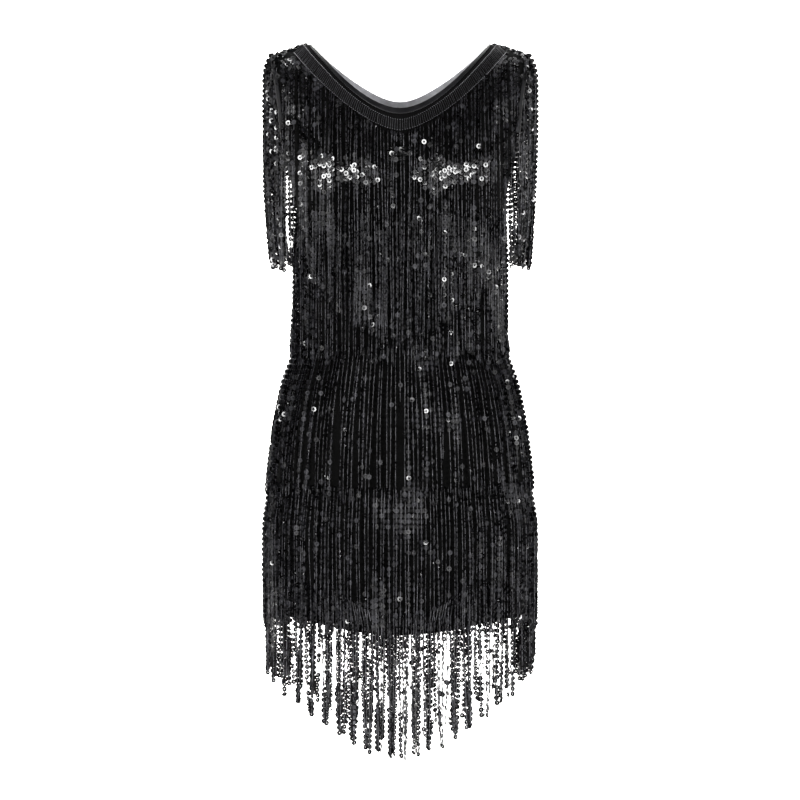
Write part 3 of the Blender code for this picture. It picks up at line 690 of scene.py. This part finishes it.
def string_fringe(name, node, strands, hang):
    """One mesh of all the strands of a row. A strand is a path of points a pitch apart."""
    parts = []
    total = 0
    for path in strands:
        count = len(path)
        along = unit(np.gradient(path, axis=0))
        level = outward_at(path)
        out = unit(level - along * np.sum(level * along, axis=1, keepdims=True))
        side = np.cross(along, out)
        way = sequin_ways(path, along, out, side, hang)
        scale = NOISE.uniform(*SIZE_SPREAD, count) * hang["size"]
        shifted = path + side * NOISE.normal(0.0, SIDE_STEP, count)[:, None]
        kept = keep_sequins(count, hang["missing"])
        rings = turn_sequins(shifted[kept], along[kept], way[kept], scale[kept]).reshape(-1, 3)
        bends = np.linspace(0, count - 1, THREAD_STEPS).round().astype(int)
        thread, thread_faces = thread_tube(path[bends], hang["thread"] * MM)
        left = int(kept.sum())
        offsets = total + np.arange(left)[:, None, None] * len(SEQUIN_POINTS)
        ring_faces = (SEQUIN_FACES[None] + offsets).reshape(-1, 4)
        dark = NOISE.uniform(0.0, 1.0, left) < hang["dark"]
        films = np.repeat(np.where(dark, DARK_FILM, FILM), len(SEQUIN_FACES))
        tones = np.repeat(sequin_tones(path[kept], hang["crisp"]), len(SEQUIN_POINTS))
        total += len(rings)
        parts.append((rings, ring_faces, films, tones))
        thread_marks = np.full(len(thread_faces), THREAD)
        parts.append((thread, thread_faces + total, thread_marks, np.full(len(thread), THREAD_TONE)))
        total += len(thread)
    points, faces, marks, tones = (np.concatenate(column) for column in zip(*parts))
    films_and_thread = (sequin_film, thread_painted_highlight, dark_film)
    piece = mesh_from_arrays(name, points, faces, films_and_thread, marks, tones)
    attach(piece, "root")
    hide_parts(node)
    print(name, len(strands), "strands,", 2 * len(faces), "triangles")


print("a strand has a sequin every", PITCH / MM, "mm")

# %% [markdown]
# Four rows of fringe run round the body. Each hangs from a header tape hidden by the row
# above, and the last one is sewn in a V so that its tips dip at the centre. The top of each
# row, the length of its strands and its dip are the same as in the CAD model, in millimetres.
# A second table says how a row hangs: how far apart its strands are, how far they twist, and
# how many sequins are missing, crisp or dark. The hem is the loosest, and it has lost most.

# %% Rows of fringe round the body
ROWS = {
    "bust_fringe": {"top": -205, "strand": 166, "dip": 4, "spread": 0.7, "gather": 0.12},
    "waist_fringe": {"top": -370, "strand": 172, "dip": 4, "spread": 0.7, "gather": 0.12},
    "hip_fringe": {"top": -542, "strand": 170, "dip": 6, "spread": 0.7, "gather": 0.15},
    "hem_fringe": {"top": -595, "strand": 168, "dip": 107, "spread": 1.1, "gather": 0.6},
}
USUAL = {"missing": 0.03, "tilt": 0.1, "thread": 0.34, "crisp": 0.22, "size": 1.0, "dark": 0.1}
ON_BODY = {**USUAL, "pitch": 4.9, "twist": 1.5, "ragged": 15, "longer": 8, "dark": 0.15}
AT_HEM = {"pitch": 5.6, "twist": 1.15, "ragged": 11, "longer": 0, "tilt": 0.25, "dark": 0.8}
HANG = {
    "bust_fringe": ON_BODY,
    "waist_fringe": ON_BODY,
    "hip_fringe": {**ON_BODY, "missing": 0.05, "ragged": 10, "longer": 0},
    "hem_fringe": {**AT_HEM, "missing": 0.16, "thread": 0.5, "crisp": 0.1, "size": 1.1},
}
TAPE_WIDTH = 8 * MM
ROOT_SHARE = 0.4
BELOW_TOP = 14
GATHER_SIZE = 4
GATHER_CURVE = 1.6
V_CURVE = 1.5
TURN_STEPS = 720
FIRST_REACH = 150 * MM
LOST_REACH = 130 * MM
SNAG = 12 * MM
UNEVEN = 0.22
CUT_SPREAD = (-1.0, 0.5)
SWAY = 0.006
WOBBLE = 0.004
WOBBLE_TURN = 5.0
ROW_DEPTH = (-1.6, 0.6)


def lengths_along(points):
    """The length of a path up to each of its points."""
    steps = np.linalg.norm(np.diff(points, axis=0), axis=1)
    return np.concatenate([[0.0], np.cumsum(steps)])


def even_turns(tree, height, spacing, spread):
    """Angles round the body that lie about a spacing apart along its surface, and its girth."""
    angles = [math.tau * i / TURN_STEPS for i in range(TURN_STEPS + 1)]
    last = FIRST_REACH
    places = []
    for angle in angles:
        last = reach_round(tree, angle, height, spread) or last
        places.append((last * math.cos(angle), last * math.sin(angle)))
    lengths = lengths_along(places)
    count = round(lengths[-1] / spacing)
    wanted = (np.arange(count) + NOISE.uniform(-UNEVEN, UNEVEN, count)) * lengths[-1] / count
    return np.interp(wanted, lengths, angles), lengths[-1]


def row_top(row, angle):
    centre = abs(math.sin(angle)) ** V_CURVE
    return (row["top"] - row["dip"] * centre) * MM


def gather(angles, index):
    """The angle to which a strand's tip is drawn by its lock."""
    first = index - index % GATHER_SIZE
    lock = angles[first : first + GATHER_SIZE]
    return float(np.mean(lock))


def hang_round(node, row, hang):
    """The paths of the strands of a row round the body, and the girth at its tape."""
    tree = trees[node]
    spread = math.radians(row["spread"])
    start_height = (row["top"] - BELOW_TOP) * MM
    angles, girth = even_turns(tree, start_height, hang["pitch"] * MM, spread)
    strands = []
    for index, angle in enumerate(angles):
        root = row_top(row, angle) - TAPE_WIDTH * ROOT_SHARE
        length = (row["strand"] + hang["longer"]) * MM + TAPE_WIDTH * (1.0 - ROOT_SHARE)
        length += CHANCE.uniform(*CUT_SPREAD) * hang["ragged"] * MM
        steps = int(length / PITCH)
        drawn = gather(angles, index)
        sway = CHANCE.gauss(0.0, SWAY)
        depth = CHANCE.uniform(*ROW_DEPTH) * MM
        path = []
        reach = None
        for step in range(steps + 1):
            share = step / steps
            height = root - length * share
            turned = angle + (drawn - angle) * row["gather"] * share**GATHER_CURVE
            turned += sway * share + WOBBLE * math.sin(share * WOBBLE_TURN + index)
            found = reach_round(tree, turned, height, spread)
            if found is not None and (reach is None or found > reach - SNAG):
                reach = found if reach is None else 0.5 * (found + reach)
            out = (reach or LOST_REACH) + depth
            x = WAIST_AXIS[0] + out * math.cos(turned)
            y = WAIST_AXIS[1] + out * math.sin(turned)
            path.append((x, y, height))
        strands.append(np.array(path))
    return strands, girth


for node, row in ROWS.items():
    strands, girth = hang_round(node, row, HANG[node])
    string_fringe(node + "_strands", node, strands, HANG[node])
    print(node, "girth at its tape", round(girth, 3), "m")

# %% [markdown]
# The top row is sewn along the neckline instead. Its header is a band between two lines of
# stitching that follow the V at front and back, and from there long strands fall over the
# bust. Their place seen from the front is fixed, and a ray from the front finds the depth.
# The two lines are those of the CAD model: half their width, how far they lie under the
# shoulder seam, their lowest point at the centre and how round they are.

# %% Strands from the neckline
NECK_LINES = {
    (FRONT, "inner"): {"half": 121.5, "drop": 1.5, "centre": -98, "roundness": 1.62},
    (FRONT, "outer"): {"half": 131.5, "drop": 10, "centre": -111, "roundness": 1.6},
    (BACK, "inner"): {"half": 121.5, "drop": 1.5, "centre": -72, "roundness": 1.42},
    (BACK, "outer"): {"half": 131.5, "drop": 10, "centre": -86, "roundness": 1.45},
}
NECK_POINT = 7.5
SEAM_SLOPE = 15.5 / 48
NECK_HALF = 114
STRAP_END = 146
NECK_STRAND = 262
UNDER_LINE = 4.5
NECK_SPACING = 4.1
NECK_UNEVEN = (-1.2, 1.2)
NECK_CUT = (-9, 4)
NECK_SWAY = 1.6
NECK_WOBBLE = 1.1
NECK_WOBBLE_TURN = 6.0
NECK_DEPTH = (-1.4, 0.8)
NECK_SPREAD = 2.4
NECK_FALL_BACK = 0.5


def seam_height(x):
    return NECK_POINT - SEAM_SLOPE * (abs(x) - NECK_HALF)


def neck_height(side, line, x):
    """The height of a line round the neck, in millimetres, at a distance from the centre."""
    row = NECK_LINES[side, line]
    if abs(x) > row["half"]:
        return seam_height(x) - row["drop"]
    top = seam_height(row["half"]) - row["drop"]
    return row["centre"] + (top - row["centre"]) * (abs(x) / row["half"]) ** row["roundness"]


def hang_from_neck(node, side):
    """The paths of the strands under the header band of the front or the back."""
    tree = trees[node]
    strands = []
    count = int(2 * STRAP_END / NECK_SPACING)
    for index in range(count + 1):
        x = (-STRAP_END + index * NECK_SPACING + CHANCE.uniform(*NECK_UNEVEN)) * MM
        root = (neck_height(side, "outer", x / MM) - UNDER_LINE) * MM
        length = (NECK_STRAND - UNDER_LINE + CHANCE.uniform(*NECK_CUT)) * MM
        steps = int(length / PITCH)
        sway = CHANCE.gauss(0.0, NECK_SWAY) * MM
        depth = CHANCE.uniform(*NECK_DEPTH) * MM
        reach = 0.0
        path = []
        for step in range(steps + 1):
            share = step / steps
            height = root - length * share
            wobble = NECK_WOBBLE * MM * math.sin(share * NECK_WOBBLE_TURN + index)
            across = x + sway * share + wobble
            found = reach_ahead(tree, across, height, side, NECK_SPREAD * MM)
            if found is not None:
                reach = found if reach == 0.0 else max(found, reach - NECK_FALL_BACK * MM)
            path.append((across, side * (reach + depth), height))
        strands.append(np.array(path))
    return strands


NECK_HANG = {**USUAL, "twist": 1.7}
for node, side in (("neck_fringe_front", FRONT), ("neck_fringe_back", BACK)):
    string_fringe(node + "_strands", node, hang_from_neck(node, side), NECK_HANG)

# %% [markdown]
# Round the top of each armhole hangs one more row, which falls over the arm. Seen from the
# front only its edge shows, three or four strands wide. Most strands hang from the shoulder,
# and a few more from each side of the armhole, one for each row of the table. Here too the
# sizes are in millimetres.

# %% Strands over the arms
SLEEVE_HANG_TOP = 171
SLEEVE_HANG_END = 155
SLEEVE_HALF_DEPTH = 21
SLEEVE_ROOT = -7.0
SLEEVE_ROOT_DROP = 12.0
SLEEVE_TIP = -271
SLEEVE_CUT = (-5, 18)
SLEEVE_STRANDS = 26
SLEEVE_UNEVEN = (-1.6, 1.0)
SLEEVE_BULGE = 8.0
BULGE_FADE = 9.0
TIP_DRIFT = 8.0
ARM_WAVE = 0.8
ARM_WAVE_DEPTH = 0.8
ARM_WAVE_TURN = 7.0
LOWER_UNEVEN = (-1, 1)
LOWER_BULGE = 1.0
LOWER_STRANDS = [
    {"x": 159, "y": 24, "root": -18},
    {"x": 156.5, "y": 27, "root": -26},
    {"x": 154.5, "y": 30, "root": -36},
    {"x": 152.5, "y": 33, "root": -46},
    {"x": 150.5, "y": 36, "root": -58},
    {"x": 148.5, "y": 39, "root": -72},
]


def arm_strand(side, x, y, root, bulge):
    """The path of one strand, which leaves the shoulder in a bulge and then hangs straight."""
    tip = SLEEVE_TIP + CHANCE.uniform(*SLEEVE_CUT)
    steps = int((root - tip) * MM / PITCH)
    start = CHANCE.uniform(0.0, 6.0)
    path = []
    for step in range(steps + 1):
        share = step / steps
        inward = bulge * (1.0 - min(1.0, share * BULGE_FADE)) ** 2 + TIP_DRIFT * share**4
        wave = ARM_WAVE * math.sin(share * ARM_WAVE_TURN + start)
        height = root + (tip - root) * share
        path.append((side * (x - inward + wave), y + ARM_WAVE_DEPTH * wave, height))
    return np.array(path) * MM


def hang_over_arm(side):
    strands = []
    for index in range(SLEEVE_STRANDS):
        from_top = 2.0 * index / (SLEEVE_STRANDS - 1) - 1.0
        hang = SLEEVE_HANG_TOP + (SLEEVE_HANG_END - SLEEVE_HANG_TOP) * from_top**2
        x = hang + CHANCE.uniform(*SLEEVE_UNEVEN)
        y = from_top * SLEEVE_HALF_DEPTH
        root = SLEEVE_ROOT - SLEEVE_ROOT_DROP * from_top**2
        strands.append(arm_strand(side, x, y, root, SLEEVE_BULGE))
    for row in LOWER_STRANDS:
        for way in (FRONT, BACK):
            x = row["x"] + CHANCE.uniform(*LOWER_UNEVEN)
            strands.append(arm_strand(side, x, way * row["y"], row["root"], LOWER_BULGE))
    return strands


ARM_HANG = {**USUAL, "twist": 1.25, "missing": 0.1, "crisp": 0.4, "tilt": 0.2}
for node, side in (("sleeve_fringe_left", -1), ("sleeve_fringe_right", 1)):
    string_fringe(node + "_strands", node, hang_over_arm(side), ARM_HANG)

# %% [markdown]
# The header band of the neck is a strip of tape sewn down with two lines of grey stitches. The
# threads of the strands run across it close together before they hang free, which gives it
# its ribbed look. A flat grid is added first, and each of its points is then laid on the
# cloth by a ray from the front.

# %% Header band along the neckline
BAND_STEPS = 96
BAND_LIFT = 2.3
BAND_THICK = 0.6 * MM
PITCH_TRIES = 401
CROSS_LIFT = 3.15
CROSS_PITCH = 2.9
CROSS_RADIUS = 0.3 * MM
CROSS_SLANT = 0.004
CROSS_PLACES = (0.02, 0.35, 0.7, 1.06)
STITCH_LIFT = 3.85
STITCH_LENGTH = 2.6
STITCH_GAP = 0.4
STITCH_RADIUS = 0.32 * MM
CROSS_THREAD, STITCH_THREAD = 0, 1
cloth_trees = {FRONT: tree_of(front_cloth), BACK: tree_of(back_cloth)}


def on_cloth(side, x, height, lift):
    """A point off the smooth cloth at a place seen from the front, sizes in millimetres."""
    tree = cloth_trees[side]
    start = Vector((x * MM, side * FAR, height * MM))
    place, normal, _, _ = tree.ray_cast(start, Vector((0.0, -side, 0.0)), FAR)
    if place is None:
        near_seam = Vector((x * MM, side * 4 * MM, height * MM))
        place, normal, _, _ = tree.find_nearest(near_seam)
    return place + normal * lift * MM


def band_point(side, along, across, lift):
    """A point of the band: along runs from -1 to 1, across from the inner to the outer line."""
    inner, outer = NECK_LINES[side, "inner"]["half"], NECK_LINES[side, "outer"]["half"]
    high = (along * inner, neck_height(side, "inner", along * inner))
    low = (along * outer, neck_height(side, "outer", along * outer))
    x = high[0] + (low[0] - high[0]) * across
    height = high[1] + (low[1] - high[1]) * across
    return on_cloth(side, x, height, lift)


def even_along(side, pitch):
    """Places along the band that lie a pitch apart."""
    tries = np.linspace(-1.0, 1.0, PITCH_TRIES)
    lengths = lengths_along([band_point(side, along, 0.5, 0.0)[:] for along in tries])
    count = int(lengths[-1] / (pitch * MM))
    return np.interp((np.arange(count) + 0.5) / count * lengths[-1], lengths, tries)


def lay_band(side, name):
    """The tape of the header band."""
    deselect()
    bpy.ops.mesh.primitive_grid_add(x_subdivisions=BAND_STEPS, y_subdivisions=3, size=2.0)
    band = bpy.context.object
    band.name = name
    for corner in band.data.vertices:
        corner.co = band_point(side, corner.co.x, 0.5 - 0.5 * corner.co.y, BAND_LIFT)
    select_only(band)
    bpy.ops.object.mode_set(mode="EDIT")
    bpy.ops.mesh.select_all(action="SELECT")
    bpy.ops.mesh.normals_make_consistent(inside=False)
    bpy.ops.object.mode_set(mode="OBJECT")
    wall = band.modifiers.new("wall", "SOLIDIFY")
    wall.thickness = BAND_THICK
    wall.offset = 0.0
    bpy.ops.object.modifier_apply(modifier="wall")
    bpy.ops.object.shade_smooth_by_angle(angle=SHADE_ANGLE)
    band.data.materials.append(tape_black)
    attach(band, "root")


def sew_band(side, name):
    """The cross threads of the band and its two lines of stitches."""
    tubes = []
    for along in even_along(side, CROSS_PITCH):
        slant = CHANCE.uniform(-CROSS_SLANT, CROSS_SLANT)
        path = [band_point(side, along + slant * share, share, CROSS_LIFT)[:] for share in CROSS_PLACES]
        tubes.append((np.array(path), CROSS_THREAD, CROSS_RADIUS))
    places = even_along(side, STITCH_LENGTH + STITCH_GAP)
    half = (places[1] - places[0]) * 0.5 * STITCH_LENGTH / (STITCH_LENGTH + STITCH_GAP)
    for across in (0.0, 1.0):
        for along in places:
            path = [band_point(side, along + end * half, across, STITCH_LIFT)[:] for end in (-1, 0, 1)]
            tubes.append((np.array(path), STITCH_THREAD, STITCH_RADIUS))
    parts = []
    total = 0
    for path, mark, radius in tubes:
        tube, tube_faces = thread_tube(path, radius)
        parts.append((tube, tube_faces + total, np.full(len(tube_faces), mark)))
        total += len(tube)
    points, faces, marks = (np.concatenate(column) for column in zip(*parts))
    tones = np.full(len(points), THREAD_TONE)
    piece = mesh_from_arrays(name, points, faces, (cross_grey, stitch_grey), marks, tones)
    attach(piece, "root")
    return piece


for side, word in ((FRONT, "front"), (BACK, "back")):
    lay_band(side, "neck_band_" + word)
    threads = sew_band(side, "neck_band_threads_" + word)
    print(threads.name, len(threads.data.polygons), "faces")

# %% [markdown]
# Over each shoulder seam the sleeve row and the neck row meet, and loose sequins stand up in an
# untidy ridge along the seam.

# %% Sequins along the shoulder seams
RIDGE_FROM = 118
RIDGE_TO = 163
RIDGE_SEQUINS = 110
RIDGE_HALF_DEPTH = 17
RIDGE_LOWEST = -30 * MM
RIDGE_LIFT = (0.8, 2.6)
RIDGE_SIZES = (0.85, 1.0)
RIDGE_TURN = 0.35
RIDGE_LEAN = 0.4
DOWN_THE_SEAM = np.array([0.3, 0.0, -1.0])


def shoulder_ridge(side, name):
    """Loose sequins at random places on the cloth beside a shoulder seam."""
    centres = []
    ways = []
    for _ in range(RIDGE_SEQUINS):
        x = side * CHANCE.uniform(RIDGE_FROM, RIDGE_TO) * MM
        y = CHANCE.gauss(0.0, 0.5) * RIDGE_HALF_DEPTH * MM
        tree = cloth_trees[FRONT if y < 0 else BACK]
        place, normal, _, _ = tree.ray_cast(Vector((x, y, FAR)), Vector((0.0, 0.0, -1.0)))
        if place is not None and place.z > RIDGE_LOWEST:
            centres.append(place + normal * CHANCE.uniform(*RIDGE_LIFT) * MM)
            ways.append(normal)
    count = len(centres)
    ways = np.array(ways) + NOISE.normal(0.0, RIDGE_TURN, (count, 3))
    along = np.tile(DOWN_THE_SEAM, (count, 1)) + NOISE.normal(0.0, RIDGE_LEAN, (count, 3))
    sizes = NOISE.uniform(*RIDGE_SIZES, count)
    points = turn_sequins(np.array(centres), along, ways, sizes).reshape(-1, 3)
    offsets = np.arange(count)[:, None, None] * len(SEQUIN_POINTS)
    faces = (SEQUIN_FACES[None] + offsets).reshape(-1, 4)
    tones = np.repeat(NOISE.uniform(0.0, 1.0, count), len(SEQUIN_POINTS))
    piece = mesh_from_arrays(name, points, faces, (sequin_film,), np.full(len(faces), FILM), tones)
    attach(piece, "root")
    print(name, count, "sequins")


for side, word in ((-1, "left"), (1, "right")):
    shoulder_ridge(side, word + "_shoulder_sequins")
